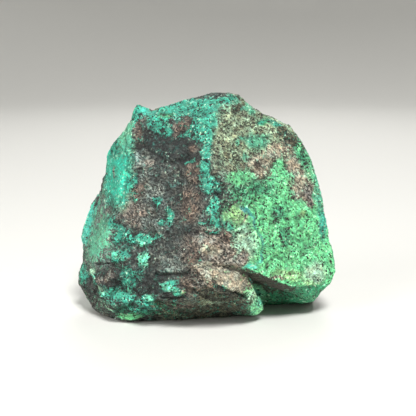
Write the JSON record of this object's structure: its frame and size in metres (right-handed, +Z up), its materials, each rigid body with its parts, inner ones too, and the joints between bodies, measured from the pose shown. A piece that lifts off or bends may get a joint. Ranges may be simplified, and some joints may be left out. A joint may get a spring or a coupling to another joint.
{
  "type": "chrysocolla specimen",
  "caption": "Rough hand specimen of blue-green chrysocolla crust on dark copper ore, standing on a flat fracture.",
  "frame": {"origin": "under the middle of the stone's bounding box, on the surface that it stands on", "axes": "+Z up, -Y towards the front with the dark and the green face, +X to the viewer's right"},
  "size_m": [0.0652, 0.0442, 0.0555],
  "materials": {
    "copper_ore": "rough, grainy green and blue-green copper silicate crust over dark brown-grey ore"
  },
  "bodies": {
    "root": {"chrysocolla_stone": "copper_ore"}
  },
  "joints": []
}
